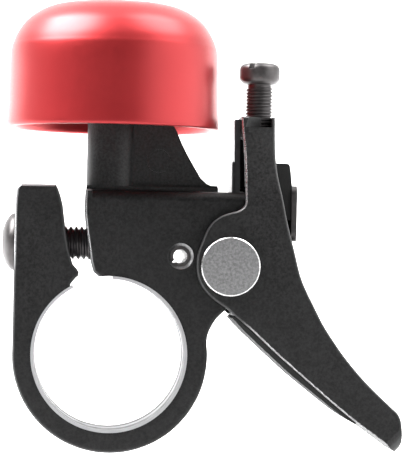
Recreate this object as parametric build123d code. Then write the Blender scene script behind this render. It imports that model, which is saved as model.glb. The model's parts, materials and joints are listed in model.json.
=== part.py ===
from build123d import *
import math
import os

# Bicycle bell on a clamp ring, with a thumb lever and an adjustable striker.
# Units are millimetres. X is to the right, Y runs along the handlebar, Z is up.
# Origin: centre of the handlebar clamp bore.

# ---------------------------------------------------------------- dimensions
BAR_R = 11.1            # handlebar radius the liner closes on
LINER_T = 0.45          # liner wall
BODY_BORE = 11.55       # bore of the clamp ring
RING_R = 14.4           # outside of the clamp ring
HALF_W = 6.0            # half width of clamp body along the bar
EAR_LEFT = -14.25
EAR_TOP = 24.9
BODY_TOP = 24.35
BODY_END = 20.0         # right hand end of the body, behind the lever
BOLT_Z = 16.4           # axis of the clamp bolt
BOLT_R = 2.5            # M5
PIVOT = (17.55, 13.3)   # lever pivot, X and Z
LUG_R = 5.7
CHEEK_IN = 6.4          # inner faces of the lever cheeks
CHEEK_OUT = 8.2         # outer faces of the lever cheeks
PIN_R = 2.5
PIVOT_HEAD_R = 4.4
ROLL = (10.25, 14.7)    # spring pin, X and Z
ROLL_R = 1.5
POST_R = 3.8
WEB_HALF = 2.3          # half thickness of the gusset
RIM_Z = 33.5
CROWN_Z = 52.65
WALL = 1.1
STRIKER_X = 21.84       # axis of the striker screw
STRIKER_R = 2.0         # M4 x 0.5
STRIKER_PITCH = 0.5
STRIKER_END = 30.75      # lower end of the striker screw, clear of the leaf at full travel
ARM_TOP = 35.7
LEAF_X0, LEAF_X1 = 18.1, 18.95
LEAF_HALF = 4.5         # half width of the leaf at its foot
LEAF_TIP = 2.5          # half width of the leaf at its tip

os.makedirs("parts", exist_ok=True)


# ---------------------------------------------------------------- helpers
def prism(pts, y0, y1):
    v = [Vector(x, y0, z) for x, z in pts]
    w = Wire(Polyline(*v, close=True).edges())
    return extrude(Face(w), amount=y1 - y0, dir=(0, 1, 0))


def curved(segments, y0, y1):
    """Closed outline from a list of point runs; runs of 3 or more become splines."""
    edges = []
    for run in segments:
        v = [Vector(x, y0, z) for x, z in run]
        if len(v) == 2:
            edges.append(Line(v[0], v[1]).edge())
        else:
            edges.append(Spline(*v).edge())
    return extrude(Face(Wire(edges)), amount=y1 - y0, dir=(0, 1, 0))


def cyl_y(x, z, r, y0, y1):
    pl = Plane(origin=(x, y0, z), x_dir=(1, 0, 0), z_dir=(0, 1, 0))
    return extrude(pl * Circle(r), amount=y1 - y0)


def cyl_x(y, z, r, x0, x1):
    pl = Plane(origin=(x0, y, z), x_dir=(0, 1, 0), z_dir=(1, 0, 0))
    return extrude(pl * Circle(r), amount=x1 - x0)


def cyl_z(x, y, r, z0, z1):
    return extrude(Plane.XY.offset(z0) * Pos(x, y) * Circle(r), amount=z1 - z0)


def hex_z(x, y, flats, z0, z1):
    return extrude(Plane.XY.offset(z0) * Pos(x, y) * RegularPolygon(flats / 2, 6, major_radius=False), amount=z1 - z0)


def box(x0, x1, y0, y1, z0, z1):
    return Pos((x0 + x1) / 2, (y0 + y1) / 2, (z0 + z1) / 2) * Box(x1 - x0, y1 - y0, z1 - z0)


def turned(points, close=True):
    """Solid of revolution about +Z from (r, z) points."""
    v = [Vector(r, 0, z) for r, z in points]
    f = Face(Wire(Polyline(*v, close=True).edges()))
    return revolve(f, Axis.Z, 360)


def thread_profile(r, pitch, z0, z1, depth):
    """Points up the outside of a ridged shank."""
    pts = []
    n = int((z1 - z0) / pitch)
    lead = ((z1 - z0) - n * pitch) / 2
    pts.append((r - depth, z0))
    z = z0 + lead
    for i in range(n):
        pts.append((r - depth, z + pitch * 0.06))
        pts.append((r, z + pitch * 0.44))
        pts.append((r, z + pitch * 0.56))
        pts.append((r - depth, z + pitch * 0.94))
        z += pitch
    pts.append((r - depth, z1))
    return pts


def solid_of(shape):
    s = shape.solids()
    assert len(s) == 1, len(s)
    return s[0]


def save(shape, name, colour):
    shape.label = name
    shape.color = colour
    export_step(shape, "parts/" + name + ".step")


BLACK = Color(0.06, 0.06, 0.065)
STEEL = Color(0.6, 0.6, 0.62)
BRASS = Color(0.75, 0.6, 0.3)
RED = Color(0.75, 0.08, 0.08)
GREY = Color(0.75, 0.75, 0.76)
RUBBER = Color(0.03, 0.03, 0.03)

# ---------------------------------------------------------------- clamp body
Y0, Y1 = -HALF_W, HALF_W
ring = cyl_y(0.13, -0.12, RING_R, Y0, Y1)
# right hand face of the ear, from its top down to the bore
EAR_FACE = [(-8.35, EAR_TOP), (-8.0, 24.3), (-7.6, 23.2), (-7.25, 21.9), (-6.95, 19.7), (-6.65, 17.5), (-6.25, 15.3), (-5.6, 13.2),
            (-4.95, 12.5), (-4.66, 12.0), (-4.75, 11.5), (-5.2, 11.1), (-5.9, 10.2)]
ear = prism([(EAR_LEFT, 0), (EAR_LEFT, 21.2), (-14.2, 22.8), (-14.05, 24.2), (-13.85, EAR_TOP - 0.2), (-13.5, EAR_TOP)] + EAR_FACE + [(-5.9, 4), (-8, 0)], Y0, Y1)
BODY_FACE = [(-3.9, BODY_TOP), (-4.0, 22.5), (-3.95, 20.6), (-3.6, 18.0), (-2.9, 13.6), (-2.45, 12.1), (-1.5, 11.3)]
block = prism(BODY_FACE + [(-0.6, 10.6), (0, 0), (13.5, -4.8), (14.3, -2.6), (14.5, -0.6), (14.42, 1.2), (14.4, 2.3), (14.5, 3.05), (14.75, 3.8), (15.2, 4.7),
              (15.65, 5.45), (16.35, 6.2), (16.9, 6.7), (17.55, 7.6), (23.0, 11.7), (23.15, 14.0), (22.3, 16.4), (BODY_END, 19.2), (BODY_END, BODY_TOP)], Y0, Y1)
lug = cyl_y(PIVOT[0], PIVOT[1], LUG_R, Y0, Y1)
body = ring + ear + block + lug
body -= cyl_y(0, 0, BODY_BORE, Y0 - 1, Y1 + 1)
# the split above the bore, between the ear and the body
gap = [(-8.35, EAR_TOP + 1)] + EAR_FACE + [(-5.9, 8), (-1.5, 8)] + BODY_FACE[::-1] + [(-3.9, EAR_TOP + 1)]
body -= prism(gap, Y0 - 1, Y1 + 1)
body = solid_of(body)
# soft outline edges on both faces
for yy in (Y0, Y1):
    edges = [e for e in body.edges()
             if abs(e.center().Y - yy) < 1e-4 and abs(e.bounding_box().size.Y) < 1e-4
             and not (e.geom_type == GeomType.CIRCLE and abs(e.radius - BODY_BORE) < 0.02)]
    try:
        body = solid_of(fillet(edges, 0.55))
    except Exception:
        body = solid_of(chamfer(edges, 0.45))
        print("body edges chamfered")
# fuller rounding along the two top edges of the body
SH = 1.5
for s in (-1, 1):
    a, b = sorted((s * (HALF_W - SH), s * (HALF_W + 1)))
    body -= box(-3.0, BODY_END + 1, a, b, BODY_TOP - SH, BODY_TOP + 1) - cyl_x(s * (HALF_W - SH), BODY_TOP - SH, SH, -4, BODY_END + 2)
body -= cyl_x(0, BOLT_Z, BOLT_R + 0.3, EAR_LEFT - 1, 3.6)
body -= cyl_x(0, BOLT_Z, 3.0, -4.2, 3.0)
body -= cyl_y(PIVOT[0], PIVOT[1], 3.3, Y0 - 1, Y1 + 1)
body -= cyl_y(ROLL[0], ROLL[1], ROLL_R, Y0 - 1, Y1 + 1)
cs = Plane(origin=(ROLL[0], Y0 - 0.01, ROLL[1]), x_dir=(1, 0, 0), z_dir=(0, 1, 0))
body -= loft([cs * Circle(1.95), cs.offset(0.46) * Circle(ROLL_R)])
body += cyl_y(ROLL[0], ROLL[1], 2.0, Y1 - 0.5, 8.45) - cyl_y(ROLL[0], ROLL[1], ROLL_R, Y1 - 1, 9)
# tenon socket, screw recess for the bell base
body -= box(-1.6, 1.6, -2.2, 2.2, 20.6, BODY_TOP + 1)
body -= cyl_z(6.0, 0, 1.6, 8, 26)
body -= cyl_z(6.0, 0, 2.9, 8, 13.6)
# slot for the leaf spring and a pocket for its screw
body -= box(17.75, LEAF_X1 + 0.02, -4.6, 4.6, 19.3, BODY_TOP + 1)
body -= box(LEAF_X1, BODY_END + 1, -3.0, 3.0, 19.1, BODY_TOP + 1)
body -= cyl_x(0, 22.0, 1.25, 14.2, 18)
body = solid_of(body)
save(body, "clamp_body", BLACK)

# ---------------------------------------------------------------- liner
liner = cyl_y(0, 0, BAR_R + LINER_T, Y0 - 0.15, Y1 + 0.15) - cyl_y(0, 0, BAR_R, Y0 - 1, Y1 + 1)
liner -= prism([(0, 0), (-8.3, 15), (0.6, 15)], Y0 - 1, Y1 + 1)
liner -= cyl_y(0, 0, BAR_R + 0.2, -0.1, 0.1)
save(solid_of(liner), "clamp_liner", GREY)

# ---------------------------------------------------------------- clamp bolt, M5
hb = 1.85
bolt_pts = [(0, 0), (0, hb)]
shank0 = -17.6
outline = thread_profile(BOLT_R, 0.8, shank0, -0.0, 0.45)
pts = [(0, shank0)] + outline
pts += [(4.3, 0), (4.3, 0.2), (4.12, 0.58), (3.8, 0.92), (3.35, 1.25), (2.85, 1.5), (2.3, 1.71), (1.85, hb), (0, hb)]
bolt = turned(pts)
bolt -= hex_z(0, 0, 3.0, hb - 1.4, hb + 1)
bolt = Pos(EAR_LEFT - 0.02, 0, BOLT_Z) * Rot(0, -90, 0) * bolt
save(solid_of(bolt), "clamp_bolt", STEEL)

insert = cyl_x(0, BOLT_Z, 2.97, -2.3, 3.0) - cyl_x(0, BOLT_Z, BOLT_R + 0.04, -4, 3.5)
save(solid_of(insert), "clamp_insert", BRASS)

# ---------------------------------------------------------------- bell base: post, gusset, foot
post = cyl_z(0, 0, POST_R, BODY_TOP, 35.4)
web = prism([(0, BODY_TOP), (0, 34.6), (7.2, 34.6), (8.7, 34.6), (9.5, 33.3), (10.2, 31.65), (11.1, 29.9), (12.15, 28.1),
             (13.2, 26.4), (14.1, 25.6), (14.7, 25.33), (15.75, 25.3), (15.75, BODY_TOP)], -WEB_HALF, WEB_HALF)
foot = prism([(-3.8, BODY_TOP), (-3.8, 24.95), (15.75, 24.95), (15.75, BODY_TOP)], -3.8, 3.8)
base = solid_of(post + web + foot)
base += box(-1.55, 1.55, -2.15, 2.15, 20.8, BODY_TOP + 0.1)
for sy in (-1, 1):
    a, b = sorted((sy * (WEB_HALF - 0.05), sy * (WEB_HALF + 0.2)))
    m = cyl_y(6.95, 29.0, 1.9, a, b)
    base += m
    a, b = sorted((sy * WEB_HALF, sy * (WEB_HALF + 0.3)))
    base -= cyl_y(6.95, 29.0, 1.58, a, b)
base -= cyl_z(6.0, 0, 1.25, 20, 30.2)
base -= cyl_z(0, 0, 3.0, 28.4, 36)
base -= cyl_z(0, 0, 2.2, 26.4, 29)
save(solid_of(base), "bell_base", BLACK)

bs = thread_profile(1.5, 0.5, 13.6 - 0.0, 29.6, 0.25)
bs = [(0, 13.6)] + [(min(r, 1.25) if z > BODY_TOP - 0.2 else r, z) for r, z in bs] + [(0, 29.6)]
bs_solid = turned(bs) + cyl_z(0, 0, 2.75, 11.85, 13.6) - hex_z(0, 0, 2.0, 11, 12.9)
save(solid_of(Pos(6.0, 0, 0) * bs_solid), "base_screw", STEEL)

# ---------------------------------------------------------------- dome and its fixing
outer = [(15.85, RIM_Z), (15.78, 34.6), (15.66, 37.0), (15.6, 40.5), (15.55, 43.5), (15.4, 45.3), (15.15, 46.2),
         (14.75, 47.2), (14.1, 48.35), (13.4, 49.3), (12.4, 50.2), (11.0, 51.1), (9.3, 51.8), (7.0, 52.25), (3.6, 52.58), (0, CROWN_Z)]
oe = Spline(*[Vector(r, 0, z) for r, z in outer], tangents=[(-0.06, 0, 1), (-1, 0, 0)])
inner = [(15.85 - WALL, RIM_Z), (14.56, 37.0), (14.47, 43.0), (14.32, 44.9), (13.7, 46.8), (12.75, 48.35), (11.6, 49.4), (9.9, 50.3),
         (8.0, 50.9), (6.3, 51.2), (3.4, 51.47), (0, 51.55)]
ie = Spline(*[Vector(r, 0, z) for r, z in inner], tangents=[(-0.06, 0, 1), (-1, 0, 0)])
prof = Face(Wire([oe.edge(), Line(Vector(0, 0, CROWN_Z), Vector(0, 0, 51.55)).edge(), ie.edge(),
                  Line(Vector(15.85 - WALL, 0, RIM_Z), Vector(15.85, 0, RIM_Z)).edge()]))
dome = revolve(prof, Axis.Z, 360)
dome -= cyl_z(0, 0, 2.1, 50, 54)
dome -= turned([(0, 51.0), (2.1, 51.0), (2.1, 51.35), (3.45, 52.45), (3.45, 53), (0, 53)])
save(solid_of(dome), "bell_dome", RED)

# countersunk screw M4 through the crown into the post
ds = [(0, 30.0)] + thread_profile(2.0, 0.7, 30.0, 50.4, 0.33) + [(2.0, 50.9), (2.0, 51.28), (3.35, 52.4), (3.2, 52.5), (0, 52.5)]
dscrew = turned(ds) - hex_z(0, 0, 2.5, 51.3, 53)
save(solid_of(dscrew), "dome_screw", STEEL)

spacer = turned([(2.35, 35.4), (3.6, 35.4), (3.6, 49.2), (4.6, 49.8), (4.6, 50.4), (2.35, 50.4)])
save(solid_of(spacer), "dome_spacer", BLACK)
washer = turned([(2.25, 50.4), (5.0, 50.4), (5.0, 51.26), (3.4, 51.4), (2.25, 51.46)])
save(solid_of(washer), "dome_washer", RUBBER)
pinsert = cyl_z(0, 0, 2.98, 28.4, 35.35) - cyl_z(0, 0, 2.02, 28, 36)
save(solid_of(pinsert), "post_insert", BRASS)

# ---------------------------------------------------------------- lever
px, pz = PIVOT
lev = curved([
    [(19.05, ARM_TOP), (24.0, ARM_TOP)],
    [(24.0, ARM_TOP), (24.0, 33.0), (24.0, 31.0), (24.06, 29.4), (24.22, 27.8), (24.52, 26.0), (24.85, 24.6), (25.49, 21.5),
     (26.25, 18.3), (27.02, 15.5), (27.75, 12.65), (28.32, 11.05), (28.74, 10.15), (29.15, 9.3), (29.83, 8.0), (30.57, 6.57), (31.35, 5.12),
     (32.76, 2.95), (34.3, 0.8), (36.07, -1.36), (38.05, -3.52), (40.33, -5.68), (42.05, -7.25)],
    [(42.05, -7.25), (43.13, -8.7), (43.38, -10.2), (43.42, -11.7), (43.1, -13.0), (42.5, -13.55)],
    [(42.5, -13.55), (39.45, -11.35), (36.5, -9.25), (34.0, -7.3), (31.7, -5.42), (29.5, -3.55), (27.35, -1.75), (25.3, 0.0), (23.4, 1.68),
     (21.6, 3.35), (19.7, 4.98), (18.4, 6.0), (17.4, 6.95)],
    [(17.4, 6.95), (15.5, 8.2), (14.0, 9.55), (12.95, 11.3), (12.6, 13.3), (12.75, 15.1), (13.45, 17.2), (14.65, 19.6), (15.7, 20.5),
     (17.3, 21.2), (18.5, 21.55), (19.3, 22.1), (19.6, 23.2)],
    [(19.6, 23.2), (19.52, 26.8), (19.46, 29.0), (19.34, 31.3), (19.13, 33.5), (19.05, ARM_TOP)],
], -CHEEK_OUT, CHEEK_OUT)
lev = solid_of(lev)
# arm narrows in a smooth curve towards the striker
ARM_SIDE = [(8.4, 20.4), (8.05, 23.4), (7.2, 26.6), (5.95, 30.2), (4.7, 33.6), (3.9, 36.4)]
for s in (-1, 1):
    v = [Vector(10, s * y, z) for y, z in ARM_SIDE]
    c0, c1 = Vector(10, s * 10, 36.4), Vector(10, s * 10, 20.4)
    f = Face(Wire([Spline(*v).edge(), Line(v[-1], c0).edge(), Line(c0, c1).edge(), Line(c1, v[0]).edge()]))
    lev = lev - extrude(f, amount=30, dir=(1, 0, 0))
lev = solid_of(lev)
# soft edges round the two sides, leaving the blend between cheek and arm alone
for s in (-1, 1):
    sides = [f for f in lev.faces() if s * f.normal_at(f.center()).Y > 0.8]
    rims = []
    for f in sides:
        for e in f.edges():
            shared = [g for g in sides if g is not f and any((h.center() - e.center()).length < 1e-4 and abs(h.length - e.length) < 1e-4 for h in g.edges())]
            if not shared:
                rims.append(e)
    before = lev.volume
    try:
        lev = lev.fillet(0.42, rims)
        print("lever edges rounded", before - lev.volume)
    except Exception:
        try:
            lev = lev.chamfer(0.4, None, rims)
            print("lever edges chamfered", before - lev.volume)
        except Exception as err:
            print("lever edges left square", err)
    lev = solid_of(lev)
# pocket round the body's lug and the end of the body
pocket = cyl_y(px, pz, 6.35, -CHEEK_IN, CHEEK_IN)
pocket += prism([(5, 3.4), (17.3, 6.2), (18.7, 6.4), (23.9, 13.3), (22.9, 18.0), (22.6, 21.5), (22.4, 25.2), (19.0, 25.2), (5, 25.2)], -CHEEK_IN, CHEEK_IN)
lev -= pocket
relief = [(-4.95, 25.0), (4.95, 25.0), (4.45, 28.9), (3.55, 32.6), (-3.55, 32.6), (-4.45, 28.9)]
v = [Vector(18.0, y, z) for y, z in relief]
lev -= extrude(Face(Wire(Polyline(*v, close=True).edges())), amount=2.9, dir=(1, 0, 0))
# pin bore and bush seats
lev -= cyl_y(px, pz, 3.1, -CHEEK_OUT - 1, CHEEK_OUT + 1)
# striker screw hole and the open corner beside it
lev -= cyl_z(STRIKER_X, 0, STRIKER_R + 0.04, 24.8, 37)
v = [Vector(x, y, 34.1) for x, y in [(22.2, -0.9), (23.6, -0.9), (23.6, -9), (15.1, -9), (22.2, -1.9)]]
lev -= extrude(Face(Wire(Polyline(*v, close=True).edges())), amount=3, dir=(0, 0, 1))
# rounded corners at the thumb end
tip = Plane(origin=(42.9, 0, -10.6), x_dir=(0.727, 0, -0.687), z_dir=(0.687, 0, 0.727))
keep = Pos(-13.2, 0) * RectangleRounded(30, 2 * CHEEK_OUT + 0.1, 2.6)
waste = (tip * (Pos(-2.0, 0) * Rectangle(12, 22))) - (tip * keep)
lev -= extrude(waste, amount=9, both=True)
lev = solid_of(lev)
save(lev, "lever", BLACK)

# ---------------------------------------------------------------- rubber strip under the blade
strip_top = [(18.55, 6.25), (19.9, 5.2), (21.8, 3.57), (23.6, 1.9), (25.5, 0.22), (27.55, -1.53), (29.7, -3.33), (31.9, -5.2), (34.2, -7.08), (36.65, -9.03)]
strip_bot = [(36.5, -9.55), (33.8, -7.85), (31.35, -6.0), (29.05, -4.2), (26.8, -2.4), (24.75, -0.6), (22.9, 1.05), (21.15, 2.65), (19.4, 4.3), (18.05, 5.75)]
pad = curved([strip_top, [strip_top[-1], strip_bot[0]], strip_bot, [strip_bot[-1], strip_top[0]]], -CHEEK_OUT + 0.6, CHEEK_OUT - 0.6)
pad -= lev
save(solid_of(pad), "lever_pad", RUBBER)

# ---------------------------------------------------------------- pivot
# shouldered pin, fixed in the body; the lever turns on it
head_y = -CHEEK_OUT - 0.15
pin = cyl_y(px, pz, PIN_R, head_y - 0.2, 9.9)
pin += cyl_y(px, pz, 2.0, 9.8, 12.0)
headp = cyl_y(px, pz, PIVOT_HEAD_R, head_y - 0.85, head_y)
he = [e for e in headp.edges() if e.geom_type == GeomType.CIRCLE and abs(e.center().Y - (head_y - 0.85)) < 0.01]
headp = chamfer(he, 0.22)
pin += headp
save(solid_of(pin), "pivot_pin", STEEL)

sleeve = cyl_y(px, pz, 3.3, -HALF_W, HALF_W) - cyl_y(px, pz, PIN_R, -7, 7)
save(solid_of(sleeve), "pivot_sleeve", BRASS)

bushes = []
for s in (-1, 1):
    a, b = sorted((s * CHEEK_IN, s * CHEEK_OUT))
    bushes.append(solid_of(cyl_y(px, pz, 3.1, a, b) - cyl_y(px, pz, PIN_R + 0.05, a - 1, b + 1)))
save(Compound(bushes), "pivot_bushes", BRASS)

washers = []
for s in (-1, 1):
    a, b = sorted((s * 6.0, s * 6.3))
    washers.append(solid_of(cyl_y(px, pz, 4.6, a, b) - cyl_y(px, pz, PIN_R, a - 1, b + 1)))
save(Compound(washers), "thrust_washers", GREY)

# ---------------------------------------------------------------- stop plate on the far side
PL0, PL1 = 8.45, 9.45
plate = prism([(8.4, 12.6), (8.4, 16.6), (9.6, 17.2), (12.5, 17.3), (20.5, 22.2), (23.0, 25.4), (25.2, 25.6), (27.65, 25.6), (27.65, 17.3),
               (24.5, 12.0), (21.5, 9.2), (18.0, 8.2), (14.0, 9.4), (11.0, 12.0)], PL0, PL1)
tab = prism([(26.85, 17.3), (26.85, 25.6), (27.65, 25.6), (27.65, 17.3)], -2.6, PL1)
plate = solid_of(plate + tab)
plate = fillet([e for e in plate.edges() if e.geom_type == GeomType.LINE and abs(e.center().Y + 2.6) < 0.01 and abs(e.length - 0.8) < 0.02], 1.4)
plate -= cyl_y(px, pz, PIN_R, 8, 10)
plate -= cyl_y(ROLL[0], ROLL[1], ROLL_R, 8, 10)
save(solid_of(plate), "stop_plate", STEEL)

stop = prism([(24.3, 28.9), (24.44, 27.6), (24.76, 26.0), (25.1, 24.55), (25.56, 22.3), (26.0, 20.4), (26.85, 20.4), (26.85, 25.6),
              (26.65, 27.6), (26.52, 28.45), (26.38, 28.75), (26.1, 28.9)], -2.2, 5.4)
save(solid_of(stop), "stop_pad", RUBBER)

pwash = cyl_y(px, pz, 4.0, PL1, PL1 + 0.5) - cyl_y(px, pz, PIN_R, 9, 11)
save(solid_of(pwash), "pivot_washer", STEEL)
nut_pl = Plane(origin=(px, PL1 + 0.5, pz), x_dir=(1, 0, 0), z_dir=(0, 1, 0))
nut = extrude(nut_pl * RegularPolygon(3.5, 6, major_radius=False), amount=2.4)
nut -= cyl_y(px, pz, 2.0, 9, 13)
save(solid_of(nut), "pivot_nut", STEEL)

# ---------------------------------------------------------------- hollow spring pin
sp = cyl_y(ROLL[0], ROLL[1], ROLL_R, -HALF_W + 0.35, PL1) - cyl_y(ROLL[0], ROLL[1], 1.02, -8, 12)
slot = Pos(ROLL[0], 0, ROLL[1]) * Rot(0, -45, 0) * box(-2.5, 0, -12, 12, -0.22, 0.22)
sp -= slot
save(solid_of(sp), "spring_pin", STEEL)

# ---------------------------------------------------------------- leaf spring and backing
leaf = prism([(LEAF_X0 + 0.0, 19.4), (LEAF_X1, 19.4), (LEAF_X1, 32.6), (LEAF_X1 + 0.03, 35.35), (LEAF_X0 - 0.05, 34.5), (LEAF_X0, 32.2)], -LEAF_HALF, LEAF_HALF)
front = [(-LEAF_HALF, 19.0), (LEAF_HALF, 19.0), (LEAF_HALF, 24.0), (LEAF_TIP, 35.6), (-LEAF_TIP, 35.6), (-LEAF_HALF, 24.0)]
v = [Vector(17, y, z) for y, z in front]
leaf_front = extrude(Face(Wire(Polyline(*v, close=True).edges())), amount=3, dir=(1, 0, 0))
leaf = leaf & leaf_front
leaf -= cyl_x(0, 22.0, 1.5, 17, 20)
save(solid_of(leaf), "leaf_spring", STEEL)
backing = (box(17.75, LEAF_X0, -LEAF_HALF, LEAF_HALF, 19.4, 28.9) & leaf_front) - cyl_x(0, 22.0, 1.5, 17, 20)
save(solid_of(backing), "leaf_backing", STEEL)
lt = LEAF_X1 - 17.75
lscr = turned([(0, -3.4), (1.25, -3.4), (1.25, 0), (1.5, 0), (1.5, lt), (2.6, lt), (2.6, lt + 0.8), (2.3, lt + 1.1), (0, lt + 1.1)])
lscr -= hex_z(0, 0, 2.0, lt + 0.3, lt + 2)
lscr = Pos(17.75, 0, 22.0) * Rot(0, 90, 0) * lscr
save(solid_of(lscr), "leaf_screw", STEEL)

# ---------------------------------------------------------------- striker screw, M4
H0, H1 = 40.75, 43.95
spts = [(0, STRIKER_END)] + thread_profile(STRIKER_R, STRIKER_PITCH, STRIKER_END, H0, 0.27)
spts += [(2.3, H0), (2.75, H0 + 0.35), (3.05, H0 + 0.75), (3.05, H1 - 0.95), (2.85, H1 - 0.5), (2.3, H1 - 0.1), (1.6, H1), (0, H1)]
st = turned(spts)
st -= box(-4, 4, -0.45, 0.45, H1 - 1.0, H1 + 1)
st = Pos(STRIKER_X, 0, 0) * Rot(0, 0, 62) * st
save(solid_of(st), "striker_screw", STEEL)
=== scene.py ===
import bpy
import bmesh
import json
import math
from mathutils import Vector, Matrix


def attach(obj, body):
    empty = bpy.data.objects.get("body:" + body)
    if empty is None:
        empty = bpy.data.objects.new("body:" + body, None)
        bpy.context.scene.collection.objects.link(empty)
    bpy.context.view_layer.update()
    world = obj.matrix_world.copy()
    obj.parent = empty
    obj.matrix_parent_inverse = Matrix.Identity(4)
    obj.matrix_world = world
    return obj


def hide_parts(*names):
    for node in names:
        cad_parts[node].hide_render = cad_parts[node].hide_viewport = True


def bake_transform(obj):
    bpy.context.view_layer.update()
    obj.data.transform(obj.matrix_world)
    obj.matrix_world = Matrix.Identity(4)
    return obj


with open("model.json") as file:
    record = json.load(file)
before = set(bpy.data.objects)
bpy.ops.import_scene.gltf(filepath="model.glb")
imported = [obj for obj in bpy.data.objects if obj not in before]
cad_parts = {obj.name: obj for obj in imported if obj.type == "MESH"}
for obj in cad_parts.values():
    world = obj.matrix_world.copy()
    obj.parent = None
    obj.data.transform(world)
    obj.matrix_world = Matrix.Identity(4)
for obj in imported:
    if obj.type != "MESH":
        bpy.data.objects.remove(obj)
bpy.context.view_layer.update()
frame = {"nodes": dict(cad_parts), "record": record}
MM = 0.001
nodes = frame["nodes"]


# ------------------------------------------------------------------ materials
def new_mat(name):
    m = bpy.data.materials.new(name)
    m.use_nodes = True
    nt = m.node_tree
    for n in list(nt.nodes):
        nt.nodes.remove(n)
    out = nt.nodes.new("ShaderNodeOutputMaterial")
    bsdf = nt.nodes.new("ShaderNodeBsdfPrincipled")
    nt.links.new(bsdf.outputs["BSDF"], out.inputs["Surface"])
    return m, nt, bsdf


def coords(nt):
    return nt.nodes.new("ShaderNodeTexCoord").outputs["Object"]


def noise(nt, vec, scale, detail=3.0, rough=0.55):
    n = nt.nodes.new("ShaderNodeTexNoise")
    n.inputs["Scale"].default_value = scale
    n.inputs["Detail"].default_value = detail
    n.inputs["Roughness"].default_value = rough
    nt.links.new(vec, n.inputs["Vector"])
    return n.outputs["Fac"]


def remap(nt, val, a, b, c, d):
    n = nt.nodes.new("ShaderNodeMapRange")
    n.inputs["From Min"].default_value = a
    n.inputs["From Max"].default_value = b
    n.inputs["To Min"].default_value = c
    n.inputs["To Max"].default_value = d
    nt.links.new(val, n.inputs["Value"])
    return n.outputs["Result"]


def bump(nt, bsdf, height, strength, dist):
    n = nt.nodes.new("ShaderNodeBump")
    n.inputs["Strength"].default_value = strength
    n.inputs["Distance"].default_value = dist
    nt.links.new(height, n.inputs["Height"])
    nt.links.new(n.outputs["Normal"], bsdf.inputs["Normal"])


def mix_col(nt, fac, a, b):
    n = nt.nodes.new("ShaderNodeMix")
    n.data_type = "RGBA"
    n.inputs["A"].default_value = (*a, 1)
    n.inputs["B"].default_value = (*b, 1)
    nt.links.new(fac, n.inputs["Factor"])
    return n.outputs["Result"]


def calc(nt, op, a, b=None, clamp=False):
    n = nt.nodes.new("ShaderNodeMath")
    n.operation = op
    n.use_clamp = clamp
    for i, x in enumerate((a, b)):
        if x is None:
            continue
        if isinstance(x, (int, float)):
            n.inputs[i].default_value = x
        else:
            nt.links.new(x, n.inputs[i])
    return n.outputs[0]


def mix_val(nt, fac, a, b):
    n = nt.nodes.new("ShaderNodeMix")
    nt.links.new(fac, n.inputs["Factor"])
    nt.links.new(a, n.inputs["A"])
    n.inputs["B"].default_value = b
    return n.outputs["Result"]


def painted_edge_highlight(nt, part):
    """Painted edge highlight: 1 on the soft edges round the two flat sides, where a light from the left would glint,
    0 on the sides and on the walls between them.
    """
    g = nt.nodes.new("ShaderNodeNewGeometry")
    sp = nt.nodes.new("ShaderNodeSeparateXYZ")
    nt.links.new(g.outputs["True Normal"], sp.inputs["Vector"])
    y = calc(nt, "ABSOLUTE", sp.outputs["Y"])
    m = calc(nt, "MULTIPLY", remap(nt, y, 0.10, 0.30, 0, 1), remap(nt, y, 0.80, 0.90, 1, 0))
    # edges facing left take the painted highlight, edges facing right almost none
    m = calc(nt, "MULTIPLY", m, remap(nt, sp.outputs["X"], -0.15, 0.35, 1, 0.06))
    # the painted highlight is weaker on the far side
    m = calc(nt, "MULTIPLY", m, remap(nt, sp.outputs["Y"], -0.1, 0.1, 1, 0.25))
    # the painted highlight is stronger at the top of the clamp, along the arm and under the blade than round the ring
    # and the hub
    pos = nt.nodes.new("ShaderNodeSeparateXYZ")
    nt.links.new(coords(nt), pos.inputs["Vector"])
    top = remap(nt, pos.outputs["Z"], 0.012 if part == "clamp" else 0.0205, 0.015 if part == "clamp" else 0.0235, 0.12, 1)
    if part == "clamp":
        flat = calc(nt, "MULTIPLY", remap(nt, pos.outputs["X"], -0.0034, -0.0028, 0, 1), remap(nt, pos.outputs["Z"], 0.0222, 0.0228, 0, 1))
        where = calc(nt, "MULTIPLY", top, calc(nt, "SUBTRACT", 1.0, flat))
    else:
        where = calc(nt, "MAXIMUM", top, remap(nt, pos.outputs["X"], 0.0190, 0.0215, 0, 1))
    # noise breaks the painted highlight up along the edges
    glint_breakup = remap(nt, noise(nt, coords(nt), 420, 2), 0.35, 0.6, 0.7, 1)
    return calc(nt, "MULTIPLY", calc(nt, "MULTIPLY", m, where), glint_breakup)


def moulding(name, a, b, r0, r1, grain=0.35, edges=None):
    m, nt, p = new_mat(name)
    v = coords(nt)
    big = noise(nt, v, 220, 3)
    fine = noise(nt, v, 2600, 3, 0.7)
    tone = calc(nt, "ADD", calc(nt, "MULTIPLY", remap(nt, fine, 0.36, 0.64, 0, 1), 0.75), calc(nt, "MULTIPLY", remap(nt, big, 0.3, 0.7, 0, 1), 0.25))
    col = mix_col(nt, tone, a, b)
    rough = remap(nt, fine, 0.3, 0.7, r0, r1)
    # painted edge highlight: the masked edges turn light grey, glossy and metallic so that they glint
    if edges:
        k = painted_edge_highlight(nt, edges)
        c2 = nt.nodes.new("ShaderNodeMix")
        c2.data_type = "RGBA"
        nt.links.new(k, c2.inputs["Factor"])
        nt.links.new(col, c2.inputs["A"])
        c2.inputs["B"].default_value = (0.60, 0.60, 0.61, 1)
        col = c2.outputs["Result"]
        rough = mix_val(nt, k, rough, 0.24)
        nt.links.new(calc(nt, "MULTIPLY", k, 0.85), p.inputs["Metallic"])
    nt.links.new(col, p.inputs["Base Color"])
    nt.links.new(rough, p.inputs["Roughness"])
    p.inputs["Specular IOR Level"].default_value = 0.4
    bump(nt, p, fine, grain, 0.00010)
    return m


# the clamp and the lever carry the painted edge highlight
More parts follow.
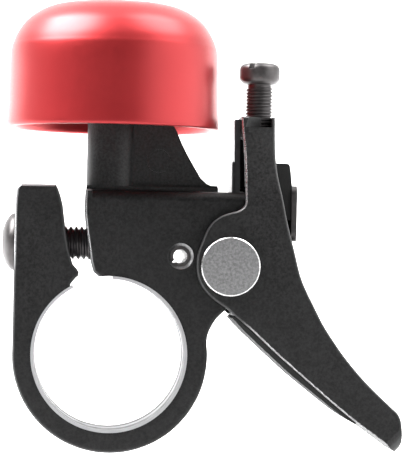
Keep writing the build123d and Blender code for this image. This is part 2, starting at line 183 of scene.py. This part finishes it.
black = moulding("black_moulding", (0.001, 0.001, 0.001), (0.017, 0.017, 0.0175), 0.36, 0.50, 0.20, "clamp")
black_lever = moulding("black_lever", (0.001, 0.001, 0.001), (0.019, 0.019, 0.0195), 0.36, 0.50, 0.20, "lever")
plain = moulding("black_plain", (0.001, 0.001, 0.001), (0.024, 0.024, 0.0245), 0.36, 0.50, 0.22)
rubber = moulding("rubber", (0.012, 0.012, 0.012), (0.018, 0.018, 0.018), 0.6, 0.75, 0.25)


def metal(name, a, b, r0, r1, scale=900, strength=0.06, metallic=1.0):
    m, nt, p = new_mat(name)
    v = coords(nt)
    n1 = noise(nt, v, scale, 4)
    nt.links.new(mix_col(nt, n1, a, b), p.inputs["Base Color"])
    nt.links.new(remap(nt, n1, 0.3, 0.7, r0, r1), p.inputs["Roughness"])
    p.inputs["Metallic"].default_value = metallic
    bump(nt, p, n1, strength, 0.00003)
    return m


black_steel = metal("black_steel", (0.075, 0.070, 0.070), (0.14, 0.132, 0.132), 0.3, 0.42, 1400, 0.1, 0.85)
spring_steel = metal("spring_steel", (0.10, 0.10, 0.105), (0.15, 0.15, 0.155), 0.3, 0.4, 1200, 0.08, 0.9)
brass = metal("brass", (0.72, 0.55, 0.26), (0.78, 0.6, 0.3), 0.25, 0.35)
# painted shade: the liner turns near black between 2 and 5.9 mm out from its middle, a dark reflected line; its
# middle and its ends keep the light grey
liner_mat, nt, p = new_mat("liner")
v = coords(nt)
sy = nt.nodes.new("ShaderNodeSeparateXYZ")
nt.links.new(v, sy.inputs["Vector"])
ay = nt.nodes.new("ShaderNodeMath")
ay.operation = "ABSOLUTE"
nt.links.new(sy.outputs["Y"], ay.inputs[0])
liner_shade_band = nt.nodes.new("ShaderNodeMath")
liner_shade_band.operation = "MULTIPLY"
nt.links.new(remap(nt, ay.outputs[0], 0.0012, 0.0020, 0, 1), liner_shade_band.inputs[0])
nt.links.new(remap(nt, ay.outputs[0], 0.0059, 0.0061, 1, 0), liner_shade_band.inputs[1])
ln = noise(nt, v, 500, 4)
tone = nt.nodes.new("ShaderNodeMix")
tone.data_type = "RGBA"
nt.links.new(liner_shade_band.outputs[0], tone.inputs["Factor"])
nt.links.new(mix_col(nt, ln, (0.36, 0.36, 0.37), (0.44, 0.44, 0.45)), tone.inputs["A"])
tone.inputs["B"].default_value = (0.06, 0.06, 0.062, 1)
nt.links.new(tone.outputs["Result"], p.inputs["Base Color"])
nt.links.new(remap(nt, ln, 0.3, 0.7, 0.32, 0.45), p.inputs["Roughness"])
p.inputs["Specular IOR Level"].default_value = 0.05
bump(nt, p, ln, 0.1, 0.00004)

# pin: blasted disc face, bright turned rim
pin_mat, nt, p = new_mat("pin_steel")
v = coords(nt)
fine = noise(nt, v, 2600, 4, 0.7)
sep = nt.nodes.new("ShaderNodeSeparateXYZ")
nt.links.new(v, sep.inputs["Vector"])


def math_node(op, a, b=None):
    n = nt.nodes.new("ShaderNodeMath")
    n.operation = op
    for i, x in enumerate((a, b)):
        if x is None:
            continue
        if isinstance(x, (int, float)):
            n.inputs[i].default_value = x
        else:
            nt.links.new(x, n.inputs[i])
    return n.outputs[0]


dx = math_node("SUBTRACT", sep.outputs["X"], 0.01755)
dz = math_node("SUBTRACT", sep.outputs["Z"], 0.0133)
rad = math_node("SQRT", math_node("ADD", math_node("MULTIPLY", dx, dx), math_node("MULTIPLY", dz, dz)))
rim = remap(nt, rad, 0.00412, 0.00420, 0, 1)
pin_col = mix_col(nt, rim, (0.42, 0.42, 0.425), (0.9, 0.9, 0.9))
speck = nt.nodes.new("ShaderNodeMix")
speck.data_type = "RGBA"
speck.blend_type = "MULTIPLY"
speck.inputs["Factor"].default_value = 1.0
nt.links.new(pin_col, speck.inputs["A"])
nt.links.new(mix_col(nt, remap(nt, fine, 0.36, 0.64, 0, 1), (0.62, 0.62, 0.62), (1, 1, 1)), speck.inputs["B"])
nt.links.new(speck.outputs["Result"], p.inputs["Base Color"])
rough = math_node("ADD", remap(nt, fine, 0.3, 0.7, 0.42, 0.55), math_node("MULTIPLY", rim, -0.25))
nt.links.new(rough, p.inputs["Roughness"])
p.inputs["Metallic"].default_value = 1.0
bump(nt, p, fine, 0.35, 0.00004)

# anodised dome
red, nt, p = new_mat("red_dome")
v = coords(nt)
fine = noise(nt, v, 3500, 3, 0.6)
soft = noise(nt, v, 90, 3)
nt.links.new(mix_col(nt, soft, (0.46, 0.022, 0.026), (0.52, 0.027, 0.031)), p.inputs["Base Color"])
nt.links.new(remap(nt, fine, 0.3, 0.7, 0.36, 0.46), p.inputs["Roughness"])
p.inputs["Metallic"].default_value = 0.80
p.inputs["Coat Weight"].default_value = 0.6
p.inputs["Coat Roughness"].default_value = 0.30
bump(nt, p, fine, 0.12, 0.00003)

MATS = {"black_moulding": black, "black_steel": black_steel, "pin_steel": pin_mat, "spring_steel": spring_steel,
        "red_dome": red, "brass": brass, "liner": liner_mat, "rubber": rubber}
slot_of = {s["node"]: s["material_slot"] for s in frame["record"]["subparts"]}


def dress(obj, mat):
    obj.data.materials.clear()
    obj.data.materials.append(mat)


for name, obj in nodes.items():
    mat = MATS[slot_of[name]]
    if mat is black and name != "clamp_body":
        mat = black_lever if name == "lever" else plain
    dress(obj, mat)


# ------------------------------------------------------------------ mesh building
def make(name, verts, faces, mat, node, body, smooth=40.0):
    me = bpy.data.meshes.new(name)
    me.from_pydata([tuple(c * MM for c in v) for v in verts], [], faces)
    me.update()
    bm = bmesh.new()
    bm.from_mesh(me)
    bmesh.ops.remove_doubles(bm, verts=bm.verts, dist=1e-7)
    bmesh.ops.recalc_face_normals(bm, faces=bm.faces)
    bm.to_mesh(me)
    bm.free()
    ob = bpy.data.objects.new(name, me)
    bpy.context.scene.collection.objects.link(ob)
    for poly in me.polygons:
        poly.use_smooth = True
    me.set_sharp_from_angle(angle=math.radians(smooth))
    dress(ob, mat)
    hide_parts(node)
    if body:
        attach(ob, body)
    return ob


def lathe(profile, segs=192):
    """Closed (r, z) profile turned about +Z. Points with r 0 become poles."""
    verts, faces = [], []
    ring = []
    for r, z in profile:
        if r < 1e-9:
            ring.append([len(verts)] * segs)
            verts.append((0, 0, z))
        else:
            ids = []
            for i in range(segs):
                a = 2 * math.pi * i / segs
                ids.append(len(verts))
                verts.append((r * math.cos(a), r * math.sin(a), z))
            ring.append(ids)
    n = len(profile)
    for k in range(n):
        a, b = ring[k], ring[(k + 1) % n]
        for i in range(segs):
            j = (i + 1) % segs
            f = [a[i], a[j], b[j], b[i]]
            g = []
            for q in f:
                if q not in g:
                    g.append(q)
            if len(g) >= 3:
                faces.append(g)
    return verts, faces


def catmull(pts, sub):
    out = []
    n = len(pts)
    for i in range(n - 1):
        p0 = pts[max(i - 1, 0)]
        p1, p2 = pts[i], pts[i + 1]
        p3 = pts[min(i + 2, n - 1)]
        for s in range(sub):
            t = s / sub
            out.append(tuple(0.5 * ((2 * b) + (-a + c) * t + (2 * a - 5 * b + 4 * c - d) * t * t + (-a + 3 * b - 3 * c + d) * t ** 3)
                             for a, b, c, d in zip(p0, p1, p2, p3)))
    out.append(pts[-1])
    return out


def arc(cx, cz, r, a0, a1, n):
    return [(cx + r * math.cos(math.radians(a0 + (a1 - a0) * i / n)), cz + r * math.sin(math.radians(a0 + (a1 - a0) * i / n))) for i in range(n + 1)]


def place(verts, m):
    return [tuple(m @ Vector(v)) for v in verts]


def join(parts):
    verts, faces = [], []
    for v, f in parts:
        o = len(verts)
        verts += v
        faces += [[i + o for i in g] for g in f]
    return verts, faces


def helix(r, root, pitch, z0, z1, segs=64, prof=((0, 0), (0.07, 0), (0.40, 1), (0.60, 1), (0.93, 0), (1.0, 0))):
    """Thread surface wound from z0 to z1, tapering in at both ends."""
    verts, faces = [], []
    turns = (z1 - z0) / pitch - 1
    steps = int(turns * segs)
    for i in range(steps + 1):
        a = 2 * math.pi * i / segs
        k = min(1, i / (segs * 0.4), (steps - i) / (segs * 0.4))
        for f, h in prof:
            rr = root + (r - root) * h * k
            verts.append((rr * math.cos(a), rr * math.sin(a), z0 + pitch * (i / segs + f)))
    n = len(prof)
    for i in range(steps):
        for j in range(n - 1):
            faces.append([i * n + j, i * n + j + 1, (i + 1) * n + j + 1, (i + 1) * n + j])
    return verts, faces


def cut(vf, cutter):
    """vf less the closed cutter, both (verts, faces) in millimetres."""
    obs = []
    for n, (v, f) in (("work", vf), ("cutter", cutter)):
        me = bpy.data.meshes.new(n)
        me.from_pydata(v, [], f)
        bm = bmesh.new()
        bm.from_mesh(me)
        bmesh.ops.remove_doubles(bm, verts=bm.verts, dist=1e-5)
        bmesh.ops.recalc_face_normals(bm, faces=bm.faces)
        bm.to_mesh(me)
        bm.free()
        ob = bpy.data.objects.new(n, me)
        bpy.context.scene.collection.objects.link(ob)
        obs.append(ob)
    mod = obs[0].modifiers.new("cut", "BOOLEAN")
    mod.operation = "DIFFERENCE"
    mod.solver = "EXACT"
    mod.object = obs[1]
    dg = bpy.context.evaluated_depsgraph_get()
    me = bpy.data.meshes.new_from_object(obs[0].evaluated_get(dg))
    v = [tuple(p.co) for p in me.vertices]
    f = [list(p.vertices) for p in me.polygons]
    for ob in obs:
        bpy.data.objects.remove(ob)
    return v, f


def hexagon(flats, z0, z1):
    r = flats / math.sqrt(3)
    v = [(r * math.cos(math.radians(60 * i + 30)), r * math.sin(math.radians(60 * i + 30)), z) for z in (z0, z1) for i in range(6)]
    f = [[i, (i + 1) % 6, 6 + (i + 1) % 6, 6 + i] for i in range(6)] + [[5, 4, 3, 2, 1, 0], [6, 7, 8, 9, 10, 11]]
    return v, f


def slab(x, y, z0, z1):
    v = [(sx * x, sy * y, z) for z in (z0, z1) for sx, sy in ((-1, -1), (1, -1), (1, 1), (-1, 1))]
    f = [[0, 1, 5, 4], [1, 2, 6, 5], [2, 3, 7, 6], [3, 0, 4, 7], [3, 2, 1, 0], [4, 5, 6, 7]]
    return v, f


# dome
outer = [(15.66, 37.0), (15.6, 40.5), (15.55, 43.5), (15.4, 45.3), (15.15, 46.2),
         (14.75, 47.2), (14.1, 48.35), (13.4, 49.3), (12.4, 50.2), (11.0, 51.1), (9.3, 51.8), (7.0, 52.25), (3.55, 52.56)]
inner = [(2.15, 51.55), (3.4, 51.47), (6.3, 51.2), (8.0, 50.9), (9.9, 50.3), (11.6, 49.4), (12.75, 48.35), (13.7, 46.8), (14.32, 44.9), (14.47, 43.0), (14.56, 37.0)]
rimc = [(14.68, 34.2), (14.80, 33.75)] + [(15.05, 33.56), (15.3, 33.5), (15.6, 33.52), (15.8, 33.68), (15.84, 33.95), (15.80, 34.5)]
prof = catmull(inner, 5) + rimc + catmull(outer, 8) + [(3.47, 52.5), (2.15, 51.4)]
v, f = lathe(prof, 224)
dome = make("dome", v, f, red, "bell_dome", "clamp", 50)

# striker screw: helical thread, rounded slotted head
SX = 21.84
H0, H1 = 40.75, 43.95
head = [(0, H0 - 0.3), (1.72, H0 - 0.3), (1.74, H0 - 0.05), (2.2, H0 + 0.0), (2.45, H0 + 0.08), (2.72, H0 + 0.35), (2.95, H0 + 0.62), (3.03, H0 + 0.95),
        (3.04, H1 - 1.1), (2.98, H1 - 0.75), (2.8, H1 - 0.42), (2.5, H1 - 0.2), (2.0, H1 - 0.06), (1.2, H1 - 0.01), (0, H1)]
sv, sf = slab(4, 0.45, H1 - 1.0, H1 + 1)
sv = place(sv, Matrix.Rotation(math.radians(62), 4, "Z"))
v1, f1 = cut(lathe(head, 96), (sv, sf))
core = [(0, 30.75), (1.2, 30.75), (1.77, 31.2), (1.775, H0 - 0.2), (0, H0 - 0.2)]
v2, f2 = lathe(core, 64)
v3, f3 = helix(1.995, 1.76, 0.5, 30.85, H0 - 0.15, 64, ((0, 0), (0.06, 0), (0.30, 1), (0.70, 1), (0.94, 0), (1.0, 0)))
v, f = join([(v1, f1), (v2, f2), (v3, f3)])
v = place(v, Matrix.Translation((SX, 0, 0)))
striker = make("striker", v, f, black_steel, "striker_screw", "striker", 35)

# clamp bolt: button head and helical thread, along X
bolt_head = [(0, 0.0), (4.24, 0.0), (4.29, 0.12), (4.24, 0.32), (4.11, 0.56), (3.92, 0.80), (3.66, 1.03), (3.33, 1.25), (2.95, 1.45), (2.5, 1.62), (2.1, 1.75), (1.84, 1.83), (1.78, 1.85), (0, 1.85)]
v1, f1 = cut(lathe(bolt_head, 128), hexagon(3.0, 0.45, 3))
core = [(0, -17.6), (1.7, -17.6), (2.08, -17.2), (2.08, 0.05), (0, 0.05)]
v2, f2 = lathe(core, 64)
v3, f3 = helix(2.49, 2.06, 0.8, -17.5, -0.5)
v, f = join([(v1, f1), (v2, f2), (v3, f3)])
v = place(v, Matrix.Translation((-14.27, 0, 16.4)) @ Matrix.Rotation(math.radians(-90), 4, "Y"))
bolt = make("clamp_screw", v, f, black_steel, "clamp_bolt", "bolt", 35)


# pivot pin: turned disc head with a polished chamfer, shank and threaded end
hy = -8.35
prof = [(0, -9.17), (2.2, -9.185), (4.12, -9.2), (4.18, -9.195), (4.34, -9.06), (4.4, -8.92), (4.4, -8.42), (4.34, hy), (2.5, hy), (2.5, 9.9), (2.0, 9.9), (2.0, 11.7), (1.75, 12.0), (0, 12.0)]
v, f = lathe(prof, 160)
v = place(v, Matrix.Translation((17.55, 0, 13.3)) @ Matrix.Rotation(math.radians(-90), 4, "X"))
pin_ob = make("pivot_bolt", v, f, pin_mat, "pivot_pin", "clamp", 25)

# ------------------------------------------------------------------ leaf spring between clamp and lever
def leaf():
    verts, faces = [], []
    nz = 48
    fr = [-1, -0.975, -0.67, -0.33, 0, 0.33, 0.67, 0.975, 1]

    def half(z):
        return 4.5 if z < 24.0 else 4.5 - 2.0 * (z - 24.0) / 11.6

    def xs(z):
        x0, x1 = 18.1, 18.95
        if z > 32.2:
            t = (z - 32.2) / 3.1
            x1 = 18.95 + 0.03 * t
            x0 = 18.1 - 0.05 * t
        return x0, x1
    for k in range(nz + 1):
        z = 19.4 + (35.3 - 19.4) * k / nz
        x0, x1 = xs(z)
        if k == nz:
            x0 += 0.12
        for q in fr:
            verts.append((x0 + (0.08 if abs(q) > 0.99 else 0), q * half(z), z))
        for q in reversed(fr):
            verts.append((x1 - (0.08 if abs(q) > 0.99 else 0), q * half(z), z))
    n = 2 * len(fr)
    for k in range(nz):
        for j in range(n):
            jj = (j + 1) % n
            faces.append([k * n + j, k * n + jj, (k + 1) * n + jj, (k + 1) * n + j])
    faces.append(list(range(n))[::-1])
    faces.append([nz * n + j for j in range(n)])
    return verts, faces


v, f = leaf()
leaf_ob = make("leaf", v, f, spring_steel, "leaf_spring", None, 35)
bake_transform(leaf_ob)


def backing():
    """Short strip behind the leaf."""
    verts, faces = [], []
    nz = 30
    for k in range(nz + 1):
        z = 19.4 + (28.9 - 19.4) * k / nz
        h = 4.5 if z < 24.0 else 4.5 - 2.0 * (z - 24.0) / 11.6
        x0 = 17.75 + (0.08 if k in (0, nz) else 0)
        for x, y in ((x0 + 0.06, -h), (x0, -h + 0.08), (x0, -h / 3), (x0, h / 3), (x0, h - 0.08), (x0 + 0.06, h), (18.1, h), (18.1, h / 3), (18.1, -h / 3), (18.1, -h)):
            verts.append((x, y, z))
    n = 10
    for k in range(nz):
        for j in range(n):
            jj = (j + 1) % n
            faces.append([k * n + j, k * n + jj, (k + 1) * n + jj, (k + 1) * n + j])
    faces.append(list(range(n))[::-1])
    faces.append([nz * n + j for j in range(n)])
    return verts, faces


v, f = backing()
backing_ob = make("backing", v, f, MATS[slot_of["leaf_backing"]], "leaf_backing", None, 35)
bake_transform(backing_ob)

# ------------------------------------------------------------------ stage
fm, nt, p = new_mat("floor")
fp = nt.nodes.new("ShaderNodeSeparateXYZ")
nt.links.new(coords(nt), fp.inputs["Vector"])
# painted shade: the floor is darker and glows less towards the camera, dimming what it throws onto the parts; further
# back it is pale and glowing
floor_shade_ramp = remap(nt, fp.outputs["Y"], -0.10, 0.14, 0, 1)
nt.links.new(mix_col(nt, floor_shade_ramp, (0.30, 0.30, 0.30), (0.9, 0.9, 0.9)), p.inputs["Base Color"])
nt.links.new(mix_col(nt, floor_shade_ramp, (0.1, 0.1, 0.1), (1, 1, 1)), p.inputs["Emission Color"])
p.inputs["Roughness"].default_value = 0.6
p.inputs["Emission Strength"].default_value = 0.35
sweep = [(-0.9, -0.03), (0.35, -0.03)] + [(0.35 + 0.35 * math.sin(math.radians(a)), -0.03 + 0.35 * (1 - math.cos(math.radians(a)))) for a in range(10, 91, 10)] + [(0.7, 1.2)]
vs, fs = [], []
for i, (y, z) in enumerate(sweep):
    vs += [(-1.2, y, z), (1.2, y, z)]
    if i:
        fs.append([2 * i - 2, 2 * i - 1, 2 * i + 1, 2 * i])
me = bpy.data.meshes.new("floor")
me.from_pydata(vs, [], fs)
for poly in me.polygons:
    poly.use_smooth = True
floor = bpy.data.objects.new("floor", me)
bpy.context.scene.collection.objects.link(floor)
floor.data.materials.append(fm)

# world: bright behind the object, dimmer on the camera's side
w = bpy.data.worlds.new("studio")
bpy.context.scene.world = w
w.use_nodes = True
nt = w.node_tree
for n in list(nt.nodes):
    nt.nodes.remove(n)
out = nt.nodes.new("ShaderNodeOutputWorld")
bg = nt.nodes.new("ShaderNodeBackground")
tc = nt.nodes.new("ShaderNodeTexCoord")
sp = nt.nodes.new("ShaderNodeSeparateXYZ")
nt.links.new(tc.outputs["Generated"], sp.inputs["Vector"])
base = remap(nt, sp.outputs["Y"], -0.85, 0.15, 0.09, 1.0)


def lobe(total, d, inner, outer, strength):
    """Adds a soft panel of light seen in direction d, full inside inner degrees and gone outside outer."""
    v = Vector(d).normalized()
    n = nt.nodes.new("ShaderNodeVectorMath")
    n.operation = "DOT_PRODUCT"
    nt.links.new(tc.outputs["Generated"], n.inputs[0])
    n.inputs[1].default_value = v
    m = nt.nodes.new("ShaderNodeMapRange")
    m.interpolation_type = "SMOOTHSTEP"
    m.inputs["From Min"].default_value = math.cos(math.radians(outer))
    m.inputs["From Max"].default_value = math.cos(math.radians(inner))
    m.inputs["To Min"].default_value = 0.0
    m.inputs["To Max"].default_value = strength
    nt.links.new(n.outputs["Value"], m.inputs["Value"])
    return math_node("ADD", total, m.outputs["Result"])


total = lobe(base, (-1.0, -0.05, 0.05), 15, 62, -0.46)
total = lobe(total, (0.88, -0.34, 0.05), 12, 48, 1.40)
total = lobe(total, (-0.60, -0.08, 0.80), 12, 31, 17.0)
total = lobe(total, (0.50, 0.02, 0.86), 8, 26, 7.5)
total = math_node("MAXIMUM", total, 0.04)
nt.links.new(total, bg.inputs["Strength"])
bg.inputs["Color"].default_value = (1, 1, 1, 1)
nt.links.new(bg.outputs["Background"], out.inputs["Surface"])


def area(name, loc, target, size, size_y, power):
    d = bpy.data.lights.new(name, "AREA")
    d.shape = "RECTANGLE"
    d.size = size
    d.size_y = size_y
    d.energy = power
    o = bpy.data.objects.new(name, d)
    o.location = loc
    o.rotation_euler = (Vector(target) - Vector(loc)).to_track_quat("-Z", "Y").to_euler()
    bpy.context.scene.collection.objects.link(o)
    return o


C = (0.012, 0, 0.02)
area("key_left", (-0.26, 0.10, 0.40), C, 0.16, 0.12, 0.35)

# ------------------------------------------------------------------ camera
cam = bpy.data.cameras.new("camera")
cam.lens = 206.1
cam.sensor_width = 36
cam.clip_start = 0.01
cam_ob = bpy.data.objects.new("camera", cam)
bpy.context.scene.collection.objects.link(cam_ob)
pos = Vector((-0.00613, -0.390, 0.01248))
aim = Vector((0.01372, 0.0, 0.01911))
q = (aim - pos).to_track_quat("-Z", "Y")
cam_ob.matrix_world = Matrix.Translation(pos) @ q.to_matrix().to_4x4() @ Matrix.Rotation(math.radians(1.2), 4, "Z")
bpy.context.scene.camera = cam_ob
bpy.context.scene.view_settings.view_transform = "Standard"
